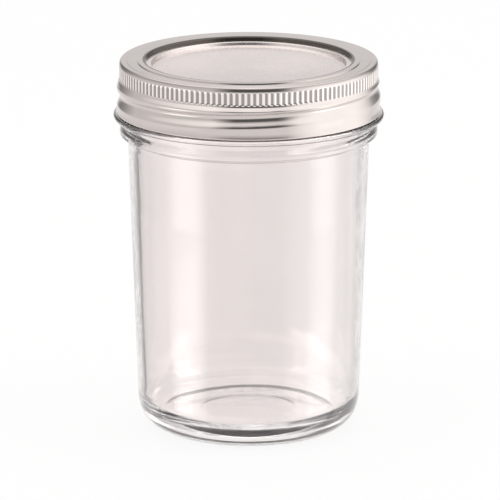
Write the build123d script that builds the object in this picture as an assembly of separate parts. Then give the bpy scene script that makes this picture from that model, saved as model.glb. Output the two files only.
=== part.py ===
from build123d import *
import math
import os

# Wide-mouth canning jar with a two-piece closure, used for sourdough starter.
# Millimetres and degrees, +Z up, origin at the centre of the base. Heights of the
# closure and the neck are depths below the top of the closed jar.

# The whole closed jar
total_height = 128.5
running_gap = 0.3       # radial room between pieces that turn past each other
seat_gap = 0.3          # room under the band's lower edge when it is screwed home
overrun = 1.0           # how far a cutting tool reaches past what it cuts

# Screw thread, right-handed, one start
thread_pitch = 6.35
groove_depth = 1.1      # how deep the groove is rolled into the band's skirt
groove_width = 5.3
groove_zero_depth = 15.23    # depth of the groove's middle at the +X side, its lower turn
groove_fade_start = -60.0    # angles about +Z from +X, rising with the thread
groove_fade_end = 80.0
groove_end = 600.0
glass_thread_width = 3.4
glass_thread_drop = 0.35     # the glass thread stands this much below mid-gap
glass_thread_root = 0.35     # how far the thread is rooted in the neck
glass_thread_start = -195.0
glass_thread_end = 165.0
glass_thread_fade = 45.0
section_step = 20.0          # angle between the sections of a thread
thread_tip = 0.06            # what is left of a thread's rise where it runs out

# Screw band, rolled from tinplate
band_height = 17.9
band_sheet = 0.28
skirt_radius = 45.0      # every other radius of the closure and the glass follows from this
hem_height = 1.3
lip_height = 1.4
lip_bend = 0.5
flange_width = 9.0       # from the knurl in to the edge of the opening
flange_slope_width = 4.6     # the flange falls over this width and is level inside it
flange_fall = 0.3
band_corner = 1.6
knurl_inset = 0.8        # how far the knurled wall stands inside the skirt
knurl_wall_height = 7.2
shoulder_fall = 0.7      # slope from the knurled wall out to the skirt
shoulder_bend = 0.6
rib_count = 142
rib_rise = 0.35          # depth of the pressed slots between the ribs
rib_inset = 0.05         # the ribs' crests stand this much inside the plain wall
rib_top_depth = 1.95
rib_length = 4.5
rib_end_slope = 0.4      # height over which the slots run out at each end
rib_width_share = 0.66   # share of the rib pitch at the rib's foot
rib_crest_share = 0.34   # share of the rib pitch at the rib's crest
rib_root = 0.12

# Lid disc, pressed from tinplate
disc_sheet = 0.24
disc_play = 0.77         # radial room between the disc and the band's thread
disc_corner = 0.9
disc_curl_height = 1.3
panel_rim_width = 9.55   # from the disc's edge in to the foot of the panel's step
panel_drop = 1.4
panel_step_width = 1.4
panel_bend = 1.0
panel_foot_bend = 0.45

# Sealing ring under the disc's rim
seal_thickness = 0.8
seal_width = 3.95        # from the disc's edge in to the ring's inner edge
seal_edge = 0.3          # slope along the ring's lower edges
seal_side_gap = 0.05

# Glass jar
neck_wall = 4.72
rim_inner_round = 0.9
rim_outer_round = 2.2
bead_stand = 1.2         # the transfer bead stands this much outside the band's skirt
bead_thickness = 1.8
bead_round = 0.85
waist_inset = 1.45       # inside the skirt's radius, between the transfer bead and the collar
waist_depth = 22.0
collar_inset = 0.95      # inside the skirt's radius
collar_bottom_depth = 25.5
collar_crest_height = 1.9
collar_round = 0.5
collar_underside = 1.1
body_inset = 3.7         # inside the skirt's radius, at the top of the body
body_taper = 3.48        # what the body's radius loses down to the base plane
heel_round = 11.7
bearing_inset = 13.82    # inside the body's radius at the base
recess_slope_width = 3.5
base_recess = 1.2
recess_round = 3.0
floor_height = 6.8
floor_corner_round = 8.0
neck_inner_depth = 21.5      # the bore runs straight down to here
shoulder_inner_depth = 29.5
shoulder_wall = 2.25
waist_inner_share = 0.545    # share of the jar's height
waist_wall = 2.25
lower_inner_share = 0.3425
lower_wall = 2.8
floor_wall = 2.6
inner_blend_round = 40.0
shoulder_blend_round = 12.0

# Sizes that follow from those above
knurl_radius = skirt_radius - knurl_inset
slot_radius = knurl_radius - rib_rise
rib_top = total_height - rib_top_depth
rib_bottom = rib_top - rib_length
skirt_inner_radius = skirt_radius - band_sheet
ridge_crest_radius = skirt_inner_radius - groove_depth
hem_inner_radius = skirt_inner_radius - band_sheet
neck_radius = ridge_crest_radius - running_gap
glass_thread_radius = hem_inner_radius - running_gap
disc_radius = ridge_crest_radius - disc_play
body_top_radius = skirt_radius - body_inset
body_base_radius = body_top_radius - body_taper
disc_top = total_height - lip_height
seal_top = disc_top - disc_sheet
rim_height = seal_top - seal_thickness


def turned(*corners):
    """Solid of revolution about Z from (radius, height, corner rounding) triples."""
    points = [(radius, height) for radius, height, _ in corners]
    rounds = [rounding for _, _, rounding in corners]
    with BuildPart() as piece:
        with BuildSketch(Plane.XZ):
            with BuildLine():
                FilletPolyline(*points, radius=rounds, close=True)
            make_face()
        revolve(axis=Axis.Z)
    return piece.part


def body_radius(height):
    """Outside radius of the jar's tapered side at a height."""
    collar_foot = total_height - collar_bottom_depth - collar_underside
    taper = (body_top_radius - body_base_radius) / collar_foot
    return body_base_radius + taper * height


def groove_height(angle):
    """Height of the middle of the band's thread groove at an angle."""
    return total_height - groove_zero_depth + thread_pitch * angle / 360


def fade(angle, start, end):
    """Smooth step from 0 at the start angle to 1 at the end angle."""
    share = min(max((angle - start) / (end - start), 0), 1)
    return share * share * (3 - 2 * share)


def radial_plane(angle, height):
    """Plane through the Z axis: local X runs outwards, local Y runs up."""
    turn = math.radians(angle)
    outwards = (math.cos(turn), math.sin(turn), 0)
    across = (math.sin(turn), -math.cos(turn), 0)
    return Plane(origin=(0, 0, height), x_dir=outwards, z_dir=across)


def bell_section(plane, foot, tip, back, width):
    """Bell-shaped thread section from its foot radius to its tip radius, closed at its back."""
    middle = (foot + tip) / 2
    lean = (tip - foot) / width
    with BuildSketch(plane) as section:
        with BuildLine():
            flank = Spline(
                (foot, -width / 2),
                (middle, -width / 4),
                (tip, 0),
                (middle, width / 4),
                (foot, width / 2),
                tangents=[(lean, 1), (-lean, 1)],
            )
            Polyline(flank @ 1, (back, width / 2), (back, -width / 2), flank @ 0)
        make_face()
    return section.sketch


def arc_section(plane, foot, tip, width):
    """Thread section with one round flank from foot to tip, closed by a straight back."""
    with BuildSketch(plane) as section:
        with BuildLine():
            flank = ThreePointArc((foot, -width / 2), (tip, 0), (foot, width / 2))
            Line(flank @ 1, flank @ 0)
        make_face()
    return section.sketch


def angles_between(start, end):
    """Evenly spaced angles from start to end, about one section step apart."""
    count = max(round((end - start) / section_step), 2)
    return [start + (end - start) * index / count for index in range(count + 1)]


def skirt_thread(foot, reach, back):
    """Helical form rolled into the skirt: foot radius, reach inwards at full depth, back radius."""
    sections = []
    for angle in angles_between(groove_fade_start, groove_end):
        share = fade(angle, groove_fade_start, groove_fade_end)
        rise = thread_tip + (reach - thread_tip) * share
        plane = radial_plane(angle, groove_height(angle))
        sections.append(bell_section(plane, foot, foot - rise, back, groove_width))
    return loft(sections)


def band_rib():
    """One rib of the knurl, standing between two slots at +X, its ends sunk in the plain wall."""
    root = slot_radius - rib_root
    crest = knurl_radius - rib_inset
    half_pitch = math.pi * knurl_radius / rib_count
    half_width = rib_width_share * half_pitch
    half_crest = rib_crest_share * half_pitch
    with BuildPart() as rib:
        with BuildSketch(Plane.XY.offset(rib_bottom)):
            with BuildLine():
                Polyline(
                    (root, -half_width),
                    (slot_radius, -half_width),
                    (crest, -half_crest),
                    (crest, half_crest),
                    (slot_radius, half_width),
                    (root, half_width),
                    close=True,
                )
            make_face()
        extrude(amount=rib_length)
    return rib.part


def screw_band():
    """Open-topped screw band: lipped flange, knurled wall, skirt with a rolled thread."""
    top = total_height
    bottom = top - band_height
    wall_radius = knurl_radius
    wall_inner_radius = slot_radius - band_sheet
    opening_radius = wall_radius - flange_width
    crown_radius = wall_radius - flange_slope_width
    lip_edge = top - lip_height
    rim_top = top - flange_fall
    knurl_foot = top - knurl_wall_height
    skirt_top = knurl_foot - shoulder_fall
    sheet = band_sheet
    hem_top = bottom + hem_height
    shell = turned(
        (opening_radius, lip_edge, 0),
        (opening_radius, top, lip_bend),
        (crown_radius, top, 0),
        (wall_radius, rim_top, band_corner),
        (wall_radius, rib_top, 0),
        (slot_radius, rib_top - rib_end_slope, 0),
        (slot_radius, rib_bottom + rib_end_slope, 0),
        (wall_radius, rib_bottom, 0),
        (wall_radius, knurl_foot, 0),
        (skirt_radius, skirt_top, shoulder_bend),
        (skirt_radius, bottom + sheet / 2, 0),
        (skirt_radius - sheet / 2, bottom, 0),
        (hem_inner_radius + sheet / 2, bottom, 0),
        (hem_inner_radius, bottom + sheet / 2, 0),
        (hem_inner_radius, hem_top, 0),
        (skirt_inner_radius, hem_top, 0),
        (skirt_inner_radius, skirt_top - sheet, 0),
        (wall_inner_radius, knurl_foot - sheet, 0),
        (wall_inner_radius, rim_top - sheet, band_corner - sheet),
        (crown_radius, top - sheet, 0),
        (opening_radius + sheet, top - sheet, 0),
        (opening_radius + sheet, lip_edge, 0),
    )
    # The groove is rolled from outside, so the same form stands out inside
    ridge_foot = skirt_inner_radius + sheet / 2
    ridge = skirt_thread(ridge_foot, groove_depth + sheet / 2, ridge_foot + sheet)
    groove_foot = skirt_radius + sheet / 2
    groove = skirt_thread(groove_foot, groove_depth + sheet / 2, groove_foot + overrun)
    inside = ridge_crest_radius - overrun
    below_skin = turned(
        (inside, bottom + sheet, 0),
        (skirt_radius - sheet / 4, bottom + sheet, 0),
        (skirt_radius - sheet / 4, skirt_top - sheet / 2, 0),
        (wall_radius - sheet / 4, knurl_foot - sheet / 2, 0),
        (inside, knurl_foot - sheet / 2, 0),
    )
    below_knurl = turned(
        (inside, bottom, 0),
        (groove_foot + overrun + sheet, bottom, 0),
        (groove_foot + overrun + sheet, knurl_foot, 0),
        (inside, knurl_foot, 0),
    )
    shell = (shell + (ridge & below_skin)) - (groove & below_knurl)
    rib = band_rib()
    ribs = [rib.rotate(Axis.Z, 360 * index / rib_count) for index in range(rib_count)]
    return shell.fuse(*ribs)


def lid_disc():
    """Pressed disc: sunk panel, raised rim over the glass, edge curled down."""
    panel_top = disc_top - panel_drop
    panel_radius = disc_radius - panel_rim_width
    step_top_radius = panel_radius + panel_step_width
    curl_edge = disc_top - disc_curl_height
    sheet = disc_sheet
    return turned(
        (0, panel_top - sheet, 0),
        (0, panel_top, 0),
        (panel_radius, panel_top, panel_foot_bend),
        (step_top_radius, disc_top, panel_bend),
        (disc_radius, disc_top, disc_corner),
        (disc_radius, curl_edge, 0),
        (disc_radius - sheet, curl_edge, 0),
        (disc_radius - sheet, disc_top - sheet, disc_corner - sheet),
        (step_top_radius, disc_top - sheet, panel_bend - sheet),
        (panel_radius, panel_top - sheet, panel_foot_bend + sheet),
    )


def sealing_ring():
    """Ring of sealing compound that fills the channel over the glass rim."""
    outer_radius = disc_radius - disc_corner - seal_side_gap
    seal_inner_radius = disc_radius - seal_width
    return turned(
        (seal_inner_radius, rim_height + seal_edge, 0),
        (seal_inner_radius + seal_edge, rim_height, 0),
        (outer_radius - seal_edge, rim_height, 0),
        (outer_radius, rim_height + seal_edge, 0),
        (outer_radius, seal_top, 0),
        (seal_inner_radius, seal_top, 0),
    )


def glass_thread():
    """Thread on the neck, standing between the turns of the band's thread."""
    foot = neck_radius - glass_thread_root
    full_rise = glass_thread_radius - foot
    sections = []
    for angle in angles_between(glass_thread_start, glass_thread_end):
        rising = fade(angle, glass_thread_start, glass_thread_start + glass_thread_fade)
        falling = fade(-angle, -glass_thread_end, glass_thread_fade - glass_thread_end)
        rise = thread_tip + (full_rise - thread_tip) * min(rising, falling)
        height = groove_height(angle) + thread_pitch / 2 - glass_thread_drop
        plane = radial_plane(angle, height)
        sections.append(arc_section(plane, foot, foot + rise, glass_thread_width))
    return loft(sections)


def glass_jar():
    """Straight-sided jar: rim, threaded neck, transfer bead, collar, tapered body, thick base."""
    bead_top = total_height - band_height - seat_gap
    bead_bottom = bead_top - bead_thickness
    bead_radius = skirt_radius + bead_stand
    waist_radius = skirt_radius - waist_inset
    waist_height = total_height - waist_depth
    collar_radius = skirt_radius - collar_inset
    collar_bottom = total_height - collar_bottom_depth
    collar_top = collar_bottom + collar_crest_height
    collar_foot = collar_bottom - collar_underside
    bearing_inner_radius = body_base_radius - bearing_inset
    recess_radius = bearing_inner_radius - recess_slope_width
    bore_radius = neck_radius - neck_wall
    neck_inner_height = total_height - neck_inner_depth
    shoulder_inner_height = total_height - shoulder_inner_depth
    waist_inner_height = waist_inner_share * total_height
    lower_inner_height = lower_inner_share * total_height
    inner_floor_radius = body_radius(floor_height) - floor_wall
    shell = turned(
        (0, base_recess, 0),
        (recess_radius, base_recess, recess_round),
        (bearing_inner_radius, 0, 0),
        (body_base_radius, 0, heel_round),
        (body_top_radius, collar_foot, 0),
        (collar_radius, collar_bottom, collar_round),
        (collar_radius, collar_top, collar_crest_height / 2),
        (waist_radius, waist_height, 0),
        (waist_radius, bead_bottom, 0),
        (bead_radius, bead_bottom, bead_round),
        (bead_radius, bead_top, bead_round),
        (neck_radius, bead_top, 0),
        (neck_radius, rim_height, rim_outer_round),
        (bore_radius, rim_height, rim_inner_round),
        (bore_radius, neck_inner_height, shoulder_blend_round),
        (body_radius(shoulder_inner_height) - shoulder_wall, shoulder_inner_height, shoulder_blend_round),
        (body_radius(waist_inner_height) - waist_wall, waist_inner_height, inner_blend_round),
        (body_radius(lower_inner_height) - lower_wall, lower_inner_height, inner_blend_round),
        (inner_floor_radius, floor_height, floor_corner_round),
        (0, floor_height, 0),
    )
    return shell + glass_thread()


os.makedirs("parts", exist_ok=True)
for name, piece in {
    "glass_jar": glass_jar(),
    "lid_disc": lid_disc(),
    "sealing_ring": sealing_ring(),
    "screw_band": screw_band(),
}.items():
    export_step(piece, f"parts/{name}.step")
    print(name, round(piece.volume), "mm3,", len(piece.solids()), "solid")
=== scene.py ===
import bmesh
import bpy
from math import atan2, cos, degrees, hypot, pi, radians, sin, tan, tau
from mathutils import Matrix, Vector


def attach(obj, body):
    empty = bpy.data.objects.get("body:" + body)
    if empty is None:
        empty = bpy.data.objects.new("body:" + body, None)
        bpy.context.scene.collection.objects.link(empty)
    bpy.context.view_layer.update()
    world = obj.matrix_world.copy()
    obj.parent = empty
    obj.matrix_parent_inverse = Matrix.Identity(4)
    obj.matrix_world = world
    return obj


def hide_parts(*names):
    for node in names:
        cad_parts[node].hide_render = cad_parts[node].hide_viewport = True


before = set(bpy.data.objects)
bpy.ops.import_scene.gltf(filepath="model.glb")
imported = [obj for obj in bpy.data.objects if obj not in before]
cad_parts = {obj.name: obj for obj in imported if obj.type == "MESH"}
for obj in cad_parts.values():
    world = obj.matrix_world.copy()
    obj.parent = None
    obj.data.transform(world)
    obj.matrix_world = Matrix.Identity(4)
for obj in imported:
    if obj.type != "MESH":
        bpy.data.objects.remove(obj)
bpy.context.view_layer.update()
scene = bpy.context.scene
mm = 0.001  # the pieces' own sizes below are in mm
print("frame loaded:", ", ".join(sorted(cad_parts)))

# the camera looks along +Y from a little above the lid
cameraPlace = {
    "location": (0.0, -1.743, 0.5197),
    "tilt": 75.26,  # degrees up from straight down
    "lens": 377.35,
    "sensor": 36,
    "shiftX": 0.0026,
    "nearest": 0.05,
}
cameraData = bpy.data.cameras.new("camera")
cameraData.lens = cameraPlace["lens"]
cameraData.sensor_width = cameraPlace["sensor"]
cameraData.shift_x = cameraPlace["shiftX"]
cameraData.clip_start = cameraPlace["nearest"]
camera = bpy.data.objects.new("camera", cameraData)
camera.location = cameraPlace["location"]
camera.rotation_euler = (radians(cameraPlace["tilt"]), 0, 0)
scene.collection.objects.link(camera)
scene.camera = camera
print("camera placed")

turning = {
    "weld": 0.002,  # points nearer than this become one
    "longEdge": 2.5,  # only edges longer than this take more rows
    "everywhere": (0, 1000),  # least and most radius
    "near": 0.02,  # points this near to a wall's radius or height belong to it
    "pole": 0.5,  # points nearer the axis than this stay where they are
}


def smoothStep(value, start, end):
    share = min(max((value - start) / (end - start), 0), 1)
    return share * share * (3 - 2 * share)


def roundedProfile(corners, closed, segments):
    # wire in the XZ plane from (radius, height, rounding), each corner bevelled round
    bm = bmesh.new()
    verts = [bm.verts.new((radius * mm, 0, height * mm)) for radius, height, _ in corners]
    followers = verts[1:] + verts[:1] if closed else verts[1:]
    for a, b in zip(verts, followers):
        bm.edges.new((a, b))
    for index, (vert, corner) in enumerate(zip(verts, corners)):
        if corner[2]:
            before, after = corners[index - 1], corners[(index + 1) % len(corners)]
            heading = atan2(corner[1] - before[1], corner[0] - before[0])
            leaving = atan2(after[1] - corner[1], after[0] - corner[0])
            turn = abs((leaving - heading + pi) % tau - pi)
            bmesh.ops.bevel(
                bm, geom=[vert], offset=corner[2] * tan(turn / 2) * mm, offset_type="OFFSET",
                segments=max(2, round(segments * turn * 2 / pi)), profile=0.5,
                affect="VERTICES", material=-1, clamp_overlap=False,
            )
    return bm


def atWall(radius):
    return radius - turning["near"], radius + turning["near"]


def addRows(bm, low, high, cuts, inside=turning["everywhere"]):
    # more rows on the long edges between two heights; inside picks a wall by its radius
    least, most = inside
    edges = [
        edge for edge in bm.edges
        if all(low <= v.co.z / mm <= high and least <= v.co.x / mm <= most for v in edge.verts)
        and edge.calc_length() > turning["longEdge"] * mm
    ]
    bmesh.ops.subdivide_edges(bm, edges=edges, cuts=cuts)


def spinProfile(bm, steps, repeats=1):
    # with repeats, one sector is spun and then copied round
    around = {
        "cent": (0, 0, 0), "axis": (0, 0, 1), "dvec": (0, 0, 0),
        "space": Matrix.Identity(4), "use_normal_flip": False,
    }
    bmesh.ops.spin(
        bm, geom=bm.verts[:] + bm.edges[:], angle=tau / repeats, steps=steps // repeats,
        use_merge=repeats == 1, use_duplicate=False, **around,
    )
    if repeats > 1:
        bmesh.ops.spin(
            bm, geom=bm.verts[:] + bm.edges[:] + bm.faces[:], angle=tau - tau / repeats,
            steps=repeats - 1, use_merge=False, use_duplicate=True, **around,
        )
    bmesh.ops.remove_doubles(bm, verts=bm.verts[:], dist=turning["weld"] * mm)
    bmesh.ops.recalc_face_normals(bm, faces=bm.faces[:])


def reshape(bm, radiusAt):
    # moves each point in or out: radiusAt(angle in degrees, radius, height)
    for vert in bm.verts:
        radius = hypot(vert.co.x, vert.co.y)
        if radius > turning["pole"] * mm:
            angle = degrees(atan2(vert.co.y, vert.co.x)) % 360
            wanted = radiusAt(angle, radius / mm, vert.co.z / mm) * mm
            vert.co.x *= wanted / radius
            vert.co.y *= wanted / radius


def makePiece(bm, name, creaseAngle):
    mesh = bpy.data.meshes.new(name)
    bm.to_mesh(mesh)
    bm.free()
    mesh.shade_smooth()
    mesh.set_sharp_from_angle(angle=radians(creaseAngle))
    piece = bpy.data.objects.new(name, mesh)
    scene.collection.objects.link(piece)
    print(name, "made,", len(mesh.polygons), "faces")
    return piece


# the screw thread that the band and the glass share; angles run up along the thread from +X
thread = {
    "top": 128.5,
    "pitch": 6.35,
    "zeroDepth": 15.23,  # middle of the rolled groove at +X, below the top
    "grooveDepth": 1.1,
    "grooveAbove": 2.5,  # from the groove's middle to its upper edge
    "grooveBelow": 4.2,  # and to its lower edge
    "fadeStart": -60.0,  # the groove grows from nothing between these two
    "fadeEnd": 80.0,
    "grooveEnd": 600.0,
    "glassWidth": 3.4,
    "glassDrop": 0.35,  # the glass thread stands this much below the middle of the gap
    "glassStart": -195.0,
    "glassEnd": 165.0,
    "glassFade": 45.0,
}


def threadHeight(angle):
    return thread["top"] - thread["zeroDepth"] + thread["pitch"] * angle / 360


def grooveShare(angle, height):
    # how much of the groove's full depth is rolled in at this spot
    deepest = 0
    for turn in (-360, 0, 360):
        along = angle + turn
        if thread["fadeStart"] < along < thread["grooveEnd"]:
            offset = height - threadHeight(along)
            away = offset / thread["grooveAbove"] if offset > 0 else -offset / thread["grooveBelow"]
            if away < 1:
                bell = 0.5 + 0.5 * cos(pi * away)
                fade = smoothStep(along, thread["fadeStart"], thread["fadeEnd"])
                deepest = max(deepest, bell * fade)
    return deepest


def glassThreadShare(angle, height):
    # how much of its full rise the glass thread has at this spot
    start, end, fade = thread["glassStart"], thread["glassEnd"], thread["glassFade"]
    highest = 0
    for turn in (-360, 0, 360):
        along = angle + turn
        if start < along < end:
            middle = threadHeight(along) + thread["pitch"] / 2 - thread["glassDrop"]
            away = abs(height - middle) / (thread["glassWidth"] / 2)
            if away < 1:
                rising = smoothStep(along, start, start + fade)
                falling = smoothStep(-along, -end, fade - end)
                highest = max(highest, (1 - away * away) * min(rising, falling))
    return highest


# profiles are (radius, height, rounding), from the middle of the base up the outside
glass = {
    "steps": 256,
    "rounding": 7,  # segments in a quarter round
    "recess": ((0, 0.45, 0), (16.0, 0.45, 1.5), (17.2, 0.36, 1.5), (26.2, 0.36, 8.0), (29.7, 0, 4.0)),
    "side": ((34.2, 0, 9.0), (38.08, 7.5, 13.0), (41.3, 101.9, 0.6)),
    "collar": ((44.05, 103.0, 0.5), (44.05, 104.9, 0.95), (43.55, 106.5, 1.5), (43.55, 108.5, 0.5)),
    "bead": ((46.2, 108.5, 0.85), (46.2, 110.3, 0.85)),
    "neck": ((43.32, 110.3, 0.5), (43.32, 126.06, 2.2)),
    "bore": ((38.6, 126.06, 0.9), (38.6, 107.0, 12.0), (37.7, 99.0, 12.0)),
    "inside": ((36.75, 78.0, 60.0), (36.2, 40.0, 60.0), (35.452, 6.8, 5.5), (0, 6.8, 0)),
    "neckRows": (110.5, 124.2, 44),  # low, high, rows
    "sideRows": (9, 102, 16),
    "threadFoot": 110.5,
    "threadRise": 0.82,
    "midWall": (36.9, 0.0342),  # a radius between the two walls, at the base and gained a mm of height
    "waviness": 0.16,  # the unevenness that pressing leaves inside the wall
    "waves": (  # share, ripples round, mm of height to a radian, start
        (0.55, 2, 60, 0.6),
        (0.3, 5, 19, 0),
        (0.25, 3, -11, 1.9),
    ),
    "wavesBegin": (8, 20),  # heights over which they grow, and die away
    "wavesEnd": (92, 105),
    "creaseAngle": 50,
}


def makeGlassJar():
    parts = ("recess", "side", "collar", "bead", "neck", "bore", "inside")
    corners = [corner for part in parts for corner in glass[part]]
    neck = glass["neck"][0][0]
    bm = roundedProfile(corners, closed=False, segments=glass["rounding"])
    addRows(bm, *glass["neckRows"], inside=atWall(neck))
    addRows(bm, *glass["sideRows"])
    spinProfile(bm, glass["steps"])
    midWall, widening = glass["midWall"]
    begin, end = glass["wavesBegin"], glass["wavesEnd"]

    def wall(angle, radius, height):
        if radius > neck - turning["near"] and height > glass["threadFoot"]:
            return radius + glass["threadRise"] * glassThreadShare(angle, height)
        if radius <= midWall + height * widening and begin[0] < height < end[1]:
            turn = radians(angle)
            wave = sum(
                share * sin(ripples * turn + height / rise + start)
                for share, ripples, rise, start in glass["waves"]
            )
            ends = smoothStep(height, *begin) * (1 - smoothStep(height, *end))
            return radius + glass["waviness"] * wave * ends
        return radius

    reshape(bm, wall)
    return makePiece(bm, "glassJar", glass["creaseAngle"])


band = {
    "rounding": 4,
    "wall": 44.2,  # radius over the knurl
    "wallInside": 43.57,
    "skirt": 45.0,
    "sheet": 0.28,
    "flange": (
        (35.2, 127.1, 0.08), (35.2, 128.5, 0.5), (38.0, 128.5, 0), (38.03, 128.2, 0),
        (41.6, 128.32, 0.06), (41.66, 128.22, 0.06), (43.45, 128.36, 0.5), (43.9, 128.02, 0.6),
    ),
    "crown": (126.9, 1.5),  # height and rounding at the top of the wall
    "wallFoot": (121.75, 0.8),
    "shoulder": ((44.4, 121.34, 0), (44.6, 120.93, 0), (44.8, 120.51, 0)),
    "skirtTop": (120.1, 0.8),
    "bottom": 110.6,
    "hemBend": 0.13,
    "hemTop": (111.9, 0.1, 0.05),  # height, and the roundings of its two corners
    "skirtTopInside": (119.8, 0.2),
    "wallFootInside": (121.5, 0.2),
    "crownInside": (127.7, 1.1),
    "underside": ((39.5, 128.04, 0), (35.48, 128.22, 0.2), (35.48, 127.1, 0.08)),
    "skirtRows": (110.6, 120.5, 22),
    "skirtRowsInside": (111.8, 120.4, 5),
    "ribs": 142,
    "stepsPerRib": 6,
    "ribRise": 0.35,
    "ribInset": 0.05,  # the crests stand this much inside the plain wall
    "ribTop": 126.55,
    "ribLength": 4.5,
    "ribEndSlope": 0.4,
    "ribEndRows": (0, 0.15, 0.4, 0.6),
    "ribEndPast": 0.1,
    "ribShares": (0.336, 0.66),  # of half the rib pitch, where a slot's side begins and ends
    "knurlFoot": 121.3,
    "grooveRunOut": 120.3,  # from here up to the knurl's foot the groove dies away
    "hemEdge": 0.3,  # so much of the bottom stays round
    "apart": 0.05,  # share of their distance that pressed rows keep
    "flare": 0.16,  # how far the skirt opens out towards its lower edge
    "flareHeight": 2.4,
    "creaseAngle": 60,
}


def bandProfile():
    wall, inner, skirt, sheet = band["wall"], band["wallInside"], band["skirt"], band["sheet"]
    bottom, bend = band["bottom"], band["hemBend"]
    hemTop, hemCorner, hemCrease = band["hemTop"]
    ribTop, ribFoot = band["ribTop"], band["ribTop"] - band["ribLength"]
    slotRows = [ribTop - down for down in band["ribEndRows"]]
    slotRows += [ribFoot + up for up in reversed(band["ribEndRows"])]
    corners = [*band["flange"], (wall, *band["crown"])]
    corners += [(wall, height, 0) for height in slotRows]
    corners += [(wall, *band["wallFoot"]), *band["shoulder"], (skirt, *band["skirtTop"])]
    corners += [(skirt, bottom, bend), (skirt - 2 * sheet, bottom, bend)]
    corners += [(skirt - 2 * sheet, hemTop, hemCorner), (skirt - sheet, hemTop, hemCrease)]
    corners += [(skirt - sheet, *band["skirtTopInside"]), (inner, *band["wallFootInside"])]
    return corners + [(inner, *band["crownInside"]), *band["underside"]]


def makeScrewBand():
    wall, skirt, sheet, bottom = band["wall"], band["skirt"], band["sheet"], band["bottom"]
    ribTop, ribFoot = band["ribTop"], band["ribTop"] - band["ribLength"]
    slope, past, near = band["ribEndSlope"], band["ribEndPast"], turning["near"]
    bm = roundedProfile(bandProfile(), closed=True, segments=band["rounding"])
    addRows(bm, *band["skirtRows"], inside=atWall(skirt))
    addRows(bm, *band["skirtRowsInside"], inside=atWall(skirt - sheet))
    addRows(bm, ribFoot, ribTop, 1, inside=atWall(wall))
    spinProfile(bm, band["ribs"] * band["stepsPerRib"], repeats=band["ribs"])
    rolled = thread["grooveDepth"] + sheet / 2
    skirtTop, hemEdge = band["skirtTop"][0], bottom + band["hemEdge"]

    def skirtRadius(angle, radius, height):
        # the groove is pressed in from outside, so the inner skin moves with it
        outer = radius > skirt - sheet / 2 or height > skirtTop and radius > wall + near
        surface = skirt if outer else skirt - sheet
        share = grooveShare(angle, height)
        share *= 1 - smoothStep(height, band["grooveRunOut"], band["knurlFoot"])
        pressed = surface + sheet / 2 - rolled * share + band["apart"] * (radius - surface)
        rising = max(0, 1 - (height - bottom) / band["flareHeight"])
        return min(radius, pressed) + band["flare"] * rising ** 2

    def knurlRadius(angle, radius, height):
        phase = angle / 360 * band["ribs"]
        slot = smoothStep(abs(phase - round(phase)) * 2, *band["ribShares"])
        ends = smoothStep(height, ribFoot - past, ribFoot + slope)
        ends *= 1 - smoothStep(height, ribTop - slope, ribTop + past)
        return radius - (band["ribRise"] * slot + band["ribInset"] * (1 - slot)) * ends

    def skin(angle, radius, height):
        if hemEdge < height < band["knurlFoot"]:
            return skirtRadius(angle, radius, height)
        if ribFoot - near < height < ribTop + near and radius > wall - near:
            return knurlRadius(angle, radius, height)
        return radius + band["flare"] if height <= hemEdge else radius

    reshape(bm, skin)
    return makePiece(bm, "screwBand", band["creaseAngle"])


disc = {
    "steps": 192,
    "rounding": 6,
    "panel": 125.7,  # height of the sunk panel
    "top": 127.1,
    "sheet": 0.24,
    "edge": 42.85,
    "curlFoot": 125.8,
    "step": ((33.0, 0.25), (33.2, 0.3)),  # radius and rounding at its foot and its top
    "stepBelow": ((33.24, 0.49), (33.44, 0.06)),
    "edgeBends": (0.9, 0.06, 0.66),
    "creaseAngle": 50,
}


def makeLidDisc():
    panel, top, edge, sheet = disc["panel"], disc["top"], disc["edge"], disc["sheet"]
    foot, (outside, curl, inside) = disc["curlFoot"], disc["edgeBends"]
    (stepFoot, footBend), (stepTop, topBend) = disc["step"]
    (footBelow, footBendBelow), (topBelow, topBendBelow) = disc["stepBelow"]
    bm = roundedProfile([
        (0, panel, 0), (stepFoot, panel, footBend), (stepTop, top, topBend),
        (edge, top, outside), (edge, foot, curl), (edge - sheet, foot, curl),
        (edge - sheet, top - sheet, inside), (topBelow, top - sheet, topBendBelow),
        (footBelow, panel - sheet, footBendBelow), (0, panel - sheet, 0),
    ], closed=False, segments=disc["rounding"])
    spinProfile(bm, disc["steps"])
    return makePiece(bm, "lidDisc", disc["creaseAngle"])


seal = {
    "steps": 128,
    "rounding": 4,
    "profile": ((38.9, 126.06, 0.3), (41.9, 126.06, 0.3), (41.9, 126.86, 0.1), (38.9, 126.86, 0.1)),
    "creaseAngle": 50,
}


def makeSealingRing():
    bm = roundedProfile(seal["profile"], closed=True, segments=seal["rounding"])
    spinProfile(bm, seal["steps"])
    return makePiece(bm, "sealingRing", seal["creaseAngle"])


glassJar = makeGlassJar()
screwBand = makeScrewBand()
lidDisc = makeLidDisc()
sealingRing = makeSealingRing()
for piece, body, node, slotName in (
    (glassJar, "jar", "glass_jar", "clear_glass"),
    (screwBand, "band", "screw_band", "bright_tinplate"),
    (lidDisc, "lid", "lid_disc", "satin_tinplate"),
    (sealingRing, "lid", "sealing_ring", "sealing_compound"),
):
    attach(piece, body)
    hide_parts(node)
print("pieces placed on their bodies")


def addNode(tree, kind, settings=None, **values):
    node = tree.nodes.new(kind)
    for name, value in (settings or {}).items():
        setattr(node, name, value)
    for name, value in values.items():
        node.inputs[name].default_value = value
    return node


def fill(tree, socket, part):
    # links a socket, or sets a plain number or colour
    if isinstance(part, bpy.types.NodeSocket):
        tree.links.new(part, socket)
    else:
        socket.default_value = (*part, 1) if isinstance(part, tuple) else part


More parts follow.
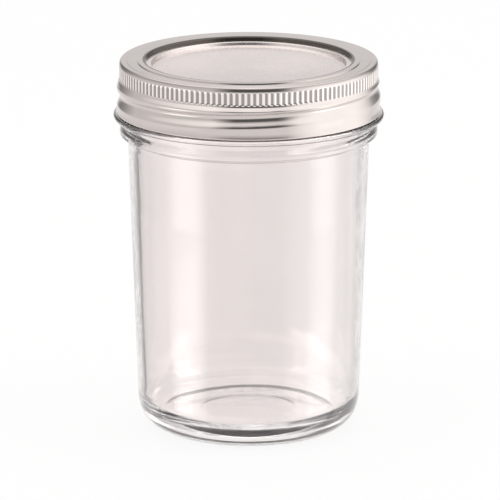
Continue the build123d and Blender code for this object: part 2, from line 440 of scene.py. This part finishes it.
def addMath(tree, operation, *parts):
    node = addNode(tree, "ShaderNodeMath", {"operation": operation})
    for socket, part in zip(node.inputs, parts):
        fill(tree, socket, part)
    return node.outputs[0]


def multiply(tree, *parts):
    product = parts[0]
    for part in parts[1:]:
        product = addMath(tree, "MULTIPLY", product, part)
    return product


def remap(tree, source, low, high, fromLow=0.3, fromHigh=0.7):
    node = addNode(tree, "ShaderNodeMapRange")
    tree.links.new(source, node.inputs["Value"])
    ranges = (("From Min", fromLow), ("From Max", fromHigh), ("To Min", low), ("To Max", high))
    for name, value in ranges:
        node.inputs[name].default_value = value
    return node.outputs["Result"]


def blendNumbers(tree, mask, first, second):
    node = addNode(tree, "ShaderNodeMix", {"data_type": "FLOAT"})
    for index, part in ((0, mask), (2, first), (3, second)):
        fill(tree, node.inputs[index], part)
    return node.outputs[0]


def blendColours(tree, mask, first, second):
    node = addNode(tree, "ShaderNodeMix", {"data_type": "RGBA"})
    for index, part in ((0, mask), (6, first), (7, second)):
        fill(tree, node.inputs[index], part)
    return node.outputs[2]


def splitDirections(tree, output):
    # x, y, z of a texture coordinate, and the distance from the Z axis
    place = addNode(tree, "ShaderNodeTexCoord")
    parts = addNode(tree, "ShaderNodeSeparateXYZ")
    tree.links.new(place.outputs[output], parts.inputs[0])
    x, y, z = parts.outputs
    squares = addMath(tree, "ADD", multiply(tree, x, x), multiply(tree, y, y))
    return x, y, z, addMath(tree, "SQRT", squares)


def newGroup(name, inputs, outputs):
    group = bpy.data.node_groups.new(name, "ShaderNodeTree")
    for label, start in inputs.items():
        socket = group.interface.new_socket(label, in_out="INPUT", socket_type="NodeSocketFloat")
        socket.default_value = start
    for label in outputs:
        group.interface.new_socket(label, in_out="OUTPUT", socket_type="NodeSocketFloat")
    return group, addNode(group, "NodeGroupInput"), addNode(group, "NodeGroupOutput")


def makeTurnedGrain():
    # fine lines that run round the piece, as spinning and rolling leave them
    group, given, result = newGroup("turnedGrain", {"Across": 9000.0, "Along": 9.0}, ["Grain"])
    x, y, z, radius = splitDirections(group, "Object")
    turn = addMath(group, "ARCTAN2", y, x)
    spot = addNode(group, "ShaderNodeCombineXYZ")
    for axis, part, scale in (("X", radius, "Across"), ("Y", turn, "Along"), ("Z", z, "Across")):
        group.links.new(multiply(group, part, given.outputs[scale]), spot.inputs[axis])
    noise = addNode(group, "ShaderNodeTexNoise", Scale=1.0, Detail=2.0, Roughness=0.6)
    group.links.new(spot.outputs[0], noise.inputs["Vector"])
    group.links.new(noise.outputs["Fac"], result.inputs["Grain"])
    return group


def makeHandling():
    # faint smudges and hair-thin rubs that handling leaves
    scales = {"Smudge Scale": 38.0, "Rub Scale": 160.0}
    group, given, result = newGroup("handling", scales, ["Smudge", "Rub"])
    place = addNode(group, "ShaderNodeTexCoord")
    smudge = addNode(group, "ShaderNodeTexNoise", Detail=4.0, Roughness=0.55, Distortion=0.4)
    group.links.new(place.outputs["Object"], smudge.inputs["Vector"])
    group.links.new(given.outputs["Smudge Scale"], smudge.inputs["Scale"])
    group.links.new(smudge.outputs["Fac"], result.inputs["Smudge"])
    stretch = addNode(group, "ShaderNodeMapping", Rotation=(0.3, 0.2, 0.7), Scale=(1.0, 14.0, 1.0))
    group.links.new(place.outputs["Object"], stretch.inputs["Vector"])
    rub = addNode(group, "ShaderNodeTexNoise", Detail=3.0, Roughness=0.7)
    group.links.new(stretch.outputs[0], rub.inputs["Vector"])
    group.links.new(given.outputs["Rub Scale"], rub.inputs["Scale"])
    group.links.new(rub.outputs["Fac"], result.inputs["Rub"])
    return group


bandPaintedLight = {
    "slotDepths": (0.08, 0.26),  # below the wall, over which painted shade darkens the knurl's slots
    "slotPaintedShade": 0.55,
    "slotDeepest": 0.4,
    "crestDepths": (0.06, 0.14),
    "crestFoot": (122.1, 122.4),
    "crestTop": (126.3, 126.6),
    "lip": 36.2,  # the band's inner lip inside this radius is painted dark, a painted shade line
}


def makeBandPaintedLight():
    # painted shade in the knurl's slots and along the band's inner lip, and painted highlights on the
    # rib crests
    places = {"Wall": band["wall"] * mm, "Foot": band["knurlFoot"] * mm, "Lip": bandPaintedLight["lip"] * mm}
    group, given, result = newGroup("bandPaintedLight", places, ["Shade", "PaintedHighlight"])
    x, y, z, radius = splitDirections(group, "Object")
    depth = addMath(group, "SUBTRACT", given.outputs["Wall"], radius)
    deep = remap(group, depth, 0, 1, *(limit * mm for limit in bandPaintedLight["slotDepths"]))
    high = addMath(group, "GREATER_THAN", z, given.outputs["Foot"])
    outside = addMath(group, "LESS_THAN", depth, bandPaintedLight["slotDeepest"] * mm)
    # painted shade: the knurl's slots are darkened as if in shadow
    paintedSlotShade = multiply(group, deep, bandPaintedLight["slotPaintedShade"], high, outside)
    # painted shade: a dark line painted along the band's inner lip
    paintedLipShade = addMath(group, "LESS_THAN", radius, given.outputs["Lip"])
    group.links.new(addMath(group, "MAXIMUM", paintedSlotShade, paintedLipShade), result.inputs["Shade"])
    # painted highlight: the rib crests are painted lighter to stand in for their glints
    proud = remap(group, depth, 1, 0, *(limit * mm for limit in bandPaintedLight["crestDepths"]))
    above = remap(group, z, 0, 1, *(height * mm for height in bandPaintedLight["crestFoot"]))
    below = remap(group, z, 1, 0, *(height * mm for height in bandPaintedLight["crestTop"]))
    group.links.new(multiply(group, proud, above, below), result.inputs["PaintedHighlight"])
    return group


turnedGrain = makeTurnedGrain()
handling = makeHandling()
print("shared shader groups made")

clearGlass = {
    "ior": 1.5,
    "coat": 1.0,
    "coatRoughness": 0.02,
    "tint": (0.948, 0.905, 0.894),
    "smear": (0.921, 0.882, 0.870),
    "roughness": (0.0, 0.03),
    "rubbed": (0.55, 0.85),  # only the strongest rubs show
    "marks": (22.0, 90.0),  # scale of the smudges and of the rubs
    "bump": (0.06, 0.0008),  # strength, distance in m
}
brightTin = {
    "colour": (0.72, 0.67, 0.65),
    "worn": (0.66, 0.615, 0.595),
    # painted shade: the dark colour laid in the knurl's slots and along the inner lip
    "edge": (0.12, 0.11, 0.10),
    # painted highlight: the light colour laid on the rib crests
    "crest": (0.96, 0.92, 0.90),
    "roughness": (0.08, 0.13),
    "turned": 0.35,  # how far the turned lines stretch a highlight
    "grain": (5000.0, 6.0),  # scale across the turned lines, and along them
    "lines": (-0.02, 0.03),  # what they take from the roughness and add to it
    "marks": (45.0, 220.0),
    "bump": (0.05, 0.00004),
}
satinTin = {
    "colour": (0.885, 0.825, 0.808),
    "worn": (0.81, 0.755, 0.74),
    "roughness": (0.24, 0.33),
    "turned": 0.3,
    "grain": (7000.0, 6.0),
    "lines": (-0.02, 0.03),
    "marks": (45.0, 220.0),
    "bump": (0.12, 0.00004),
}
compound = {
    "colour": (0.44, 0.42, 0.38),
    "dark": (0.36, 0.345, 0.31),
    "roughness": (0.55, 0.7),
    "marks": (120.0, 500.0),
    "bump": (0.3, 0.0002),
}


def newMaterial(name):
    material = bpy.data.materials.new(name)
    material.use_nodes = True
    tree = material.node_tree
    return material, tree, tree.nodes["Principled BSDF"]


def placeGroup(tree, group, **values):
    return addNode(tree, "ShaderNodeGroup", {"node_tree": group}, **values)


def placeMarks(tree, look):
    # the smudge mask and the rubs of one finish
    smudgeScale, rubScale = look["marks"]
    marks = placeGroup(tree, handling, **{"Smudge Scale": smudgeScale, "Rub Scale": rubScale})
    return marks.outputs["Smudge"], marks.outputs["Rub"]


def addBump(tree, shader, height, look):
    strength, distance = look["bump"]
    bump = addNode(tree, "ShaderNodeBump", Strength=strength, Distance=distance)
    tree.links.new(height, bump.inputs["Height"])
    tree.links.new(bump.outputs["Normal"], shader.inputs["Normal"])


def makeGlassFinish(look):
    material, tree, shader = newMaterial("clearGlass")
    shader.inputs["Transmission Weight"].default_value = 1.0
    shader.inputs["Metallic"].default_value = 0.0
    shader.inputs["IOR"].default_value = look["ior"]
    shader.inputs["Coat Weight"].default_value = look["coat"]
    shader.inputs["Coat Roughness"].default_value = look["coatRoughness"]
    smudge, rub = placeMarks(tree, look)
    colour = blendColours(tree, remap(tree, smudge, 0, 1), look["tint"], look["smear"])
    tree.links.new(colour, shader.inputs["Base Color"])
    roughness = remap(tree, rub, *look["roughness"], *look["rubbed"])
    tree.links.new(roughness, shader.inputs["Roughness"])
    addBump(tree, shader, smudge, look)
    return material


def makeTinFinish(name, look):
    material, tree, shader = newMaterial(name)
    shader.inputs["Metallic"].default_value = 1.0
    shader.inputs["Anisotropic"].default_value = look["turned"]
    along = addNode(tree, "ShaderNodeTangent", {"direction_type": "RADIAL", "axis": "Z"})
    tree.links.new(along.outputs[0], shader.inputs["Tangent"])
    smudge, rub = placeMarks(tree, look)
    across, lengthwise = look["grain"]
    grain = placeGroup(tree, turnedGrain, Across=across, Along=lengthwise).outputs["Grain"]
    colour = blendColours(tree, remap(tree, smudge, 0, 1), look["colour"], look["worn"])
    # the band alone gets painted shade in its slots and at its lip, and painted highlights on its
    # crests
    if "edge" in look:
        paintedLight = placeGroup(tree, makeBandPaintedLight())
        colour = blendColours(tree, paintedLight.outputs["Shade"], colour, look["edge"])
        colour = blendColours(tree, paintedLight.outputs["PaintedHighlight"], colour, look["crest"])
    tree.links.new(colour, shader.inputs["Base Color"])
    rubbed = remap(tree, rub, *look["roughness"])
    roughness = addMath(tree, "ADD", rubbed, remap(tree, grain, *look["lines"]))
    tree.links.new(roughness, shader.inputs["Roughness"])
    addBump(tree, shader, grain, look)
    return material


def makeCompoundFinish(look):
    material, tree, shader = newMaterial("sealingCompound")
    smudge, rub = placeMarks(tree, look)
    colour = blendColours(tree, remap(tree, smudge, 0, 1), look["colour"], look["dark"])
    tree.links.new(colour, shader.inputs["Base Color"])
    tree.links.new(remap(tree, rub, *look["roughness"]), shader.inputs["Roughness"])
    addBump(tree, shader, smudge, look)
    return material


glassJar.data.materials.append(makeGlassFinish(clearGlass))
screwBand.data.materials.append(makeTinFinish("brightTinplate", brightTin))
lidDisc.data.materials.append(makeTinFinish("satinTinplate", satinTin))
sealingRing.data.materials.append(makeCompoundFinish(compound))
print("finishes made")

# directions in the studio: a turn is in degrees to the right from straight in front of the jar,
# a height is the sine of the angle above the level, and a softness is where a part fades out
studio = {
    "floorSize": 3.5,
    "floor": (0.98, 0.978, 0.975),
    "floorRoughness": 0.8,
    "floorSheen": 0.1,
    "floorGlow": 0.9,  # share of plain white over the lit floor, as the camera sees it
    "ambient": ((1.0, 0.985, 0.975), 0.68),
    "mirroredColour": (1.0, 0.975, 0.965),
    "backdrop": (0.76, 1.4),  # what the metal mirrors behind the jar: low down, and overhead
    "overhead": (0.28, 0.62),  # heights between the two
    "flank": 0.36,  # share of that left to either side behind the jar
    "flankFrom": (0.93, 0.99),  # cosine of the turn from straight behind
    "flankTo": (0.5, 0.85),
    "ground": 0.9,
    "groundEdge": (-0.20, -0.05),
    "gloom": 0.12,  # the unlit room behind the camera
    "gloomTurn": (6.0, 30.0, 10.0),  # turn, half width, softness
    "gloomLow": (-0.16, 0.05),
    "gloomHigh": (0.42, 0.64),
    "throughGlass": 0.985,
    "leftThroughGlass": 0.12,  # what shows in glass that mirrors inside and bends the view aside
    "rightThroughGlass": 0.8,
    "leftToRight": (-0.1, 0.1),
    "behind": (0.80, 0.94),  # cosine of the turn from straight behind over which that begins
    "level": (0.35, 0.6),  # heights, up or down, past which it ends
    "banks": (  # soft banks of light: turn, half width, softness, strength, heights over which it ends
        (85.0, 36.0, 16.0, 1.42, (0.45, 0.8)),
        (80.5, 11.5, 8.0, 2.35, (-0.27, -0.24)),
        (-66.6, 15.5, 8.0, 1.65, (-0.27, -0.24)),
    ),
    "bankLow": (-0.75, -0.5),
    "aim": (0, 0, 0.08),
    "boxes": (  # place, size in m, radiance
        ((1.45, -0.25, 0.7), (0.75, 1.2), 2.6),
        ((-1.40, -0.60, 0.7), (0.7, 1.2), 1.9),
        ((0.0, 0.35, 2.1), (1.6, 1.2), 1.5),
    ),
    "bounces": (24, 16, 24),  # in all, glossy, transmission: light runs far inside the thick glass
}


def lightPath(tree, output):
    return addNode(tree, "ShaderNodeLightPath").outputs[output]


def blendShaders(tree, mask, first, second):
    mix = addNode(tree, "ShaderNodeMixShader")
    tree.links.new(mask, mix.inputs["Fac"])
    tree.links.new(first.outputs[0], mix.inputs[1])
    tree.links.new(second.outputs[0], mix.inputs[2])
    return mix


def makeFloor():
    bm = bmesh.new()
    bmesh.ops.create_grid(bm, x_segments=2, y_segments=2, size=studio["floorSize"])
    floor = makePiece(bm, "floor", creaseAngle=30)
    material, tree, shader = newMaterial("paleFloor")
    shader.inputs["Base Color"].default_value = (*studio["floor"], 1)
    shader.inputs["Roughness"].default_value = studio["floorRoughness"]
    shader.inputs["Specular IOR Level"].default_value = studio["floorSheen"]
    white = addNode(tree, "ShaderNodeEmission", Color=(1, 1, 1, 1), Strength=1.0)
    glow = multiply(tree, lightPath(tree, "Is Camera Ray"), studio["floorGlow"])
    mix = blendShaders(tree, glow, shader, white)
    tree.links.new(mix.outputs[0], tree.nodes["Material Output"].inputs["Surface"])
    floor.data.materials.append(material)
    floor.visible_glossy = False  # metal and glass see the world's own ground in its place
    floor.visible_transmission = False


def makeWorld():
    world = bpy.data.worlds.new("studio")
    scene.world = world
    world.use_nodes = True
    tree = world.node_tree
    tree.nodes.clear()
    x, y, z, level = splitDirections(tree, "Generated")
    level = addMath(tree, "MAXIMUM", level, 0.001)

    def towards(turn, half, soft):
        # 1 in the directions near a turn
        rightward = multiply(tree, x, sin(radians(turn)))
        forward = multiply(tree, y, -cos(radians(turn)))
        facing = addMath(tree, "DIVIDE", addMath(tree, "ADD", rightward, forward), level)
        return remap(tree, facing, 0, 1, cos(radians(half + soft)), cos(radians(half - soft)))

    # what metal and the outside of the glass mirror
    beyond = addMath(tree, "DIVIDE", y, level)
    backdrop = remap(tree, z, *studio["backdrop"], *studio["overhead"])
    flankFrom = remap(tree, beyond, 1, 0, *studio["flankFrom"])
    flank = multiply(tree, flankFrom, remap(tree, beyond, 0, 1, *studio["flankTo"]))
    backdrop = multiply(tree, backdrop, remap(tree, flank, 1, studio["flank"], 0, 1))
    aboveGround = remap(tree, z, 0, 1, *studio["groundEdge"])
    strength = blendNumbers(tree, aboveGround, studio["ground"], backdrop)
    gloomRise = remap(tree, z, 0, 1, *studio["gloomLow"])
    gloom = multiply(tree, gloomRise, remap(tree, z, 1, 0, *studio["gloomHigh"]))
    gloom = multiply(tree, gloom, towards(*studio["gloomTurn"]))
    strength = blendNumbers(tree, gloom, strength, studio["gloom"])
    insideGlass = addMath(tree, "GREATER_THAN", lightPath(tree, "Transmission Depth"), 0.5)
    strength = blendNumbers(tree, insideGlass, strength, 1.0)

    # what is seen through the glass: plain straight on, darker to the sides once mirrored inside
    rightSide = remap(tree, x, 0, 1, *studio["leftToRight"])
    left, right = studio["leftThroughGlass"], studio["rightThroughGlass"]
    besides = blendNumbers(tree, rightSide, left, right)
    steep = remap(tree, addMath(tree, "ABSOLUTE", z), 0, 1, *studio["level"])
    clear = addMath(tree, "MAXIMUM", steep, remap(tree, beyond, 0, 1, *studio["behind"]))
    unmirrored = addMath(tree, "LESS_THAN", lightPath(tree, "Glossy Depth"), 0.5)
    clear = addMath(tree, "MAXIMUM", clear, unmirrored)
    through = blendNumbers(tree, clear, besides, studio["throughGlass"])

    aboveLow = remap(tree, z, 0, 1, *studio["bankLow"])
    for turn, half, soft, glow, top in studio["banks"]:
        belowTop = remap(tree, z, 1, 0, *top)
        mask = multiply(tree, towards(turn, half, soft), multiply(tree, aboveLow, belowTop))
        strength = blendNumbers(tree, mask, strength, glow)
        through = blendNumbers(tree, mask, through, glow)

    ambientColour, ambient = studio["ambient"]
    lit = addNode(tree, "ShaderNodeBackground", Color=(*ambientColour, 1), Strength=ambient)
    mirrored = addNode(tree, "ShaderNodeBackground", Color=(*studio["mirroredColour"], 1))
    tree.links.new(strength, mirrored.inputs["Strength"])
    throughGlass = addNode(tree, "ShaderNodeBackground", Color=(1, 1, 1, 1))
    tree.links.new(through, throughGlass.inputs["Strength"])
    white = addNode(tree, "ShaderNodeBackground", Color=(1, 1, 1, 1), Strength=1.0)
    shown = blendShaders(tree, lightPath(tree, "Is Glossy Ray"), lit, mirrored)
    shown = blendShaders(tree, lightPath(tree, "Is Transmission Ray"), shown, throughGlass)
    shown = blendShaders(tree, lightPath(tree, "Is Camera Ray"), shown, white)
    out = addNode(tree, "ShaderNodeOutputWorld")
    tree.links.new(shown.outputs[0], out.inputs["Surface"])


def makeLights():
    for index, (place, size, radiance) in enumerate(studio["boxes"]):
        data = bpy.data.lights.new(f"softBox{index}", "AREA")
        data.shape = "RECTANGLE"
        data.size, data.size_y = size
        data.energy = radiance * pi * size[0] * size[1]
        lamp = bpy.data.objects.new(f"softBox{index}", data)
        lamp.location = place
        aim = Vector(studio["aim"]) - lamp.location
        lamp.rotation_euler = aim.to_track_quat("-Z", "Y").to_euler()
        lamp.visible_camera = False
        lamp.visible_glossy = False  # the metal mirrors the world's soft banks instead
        scene.collection.objects.link(lamp)


makeFloor()
makeWorld()
makeLights()
scene.view_settings.view_transform = "Standard"
allBounces, glossyBounces, glassBounces = studio["bounces"]
scene.cycles.max_bounces = allBounces
scene.cycles.glossy_bounces = glossyBounces
scene.cycles.transmission_bounces = glassBounces
print("floor and lights made")
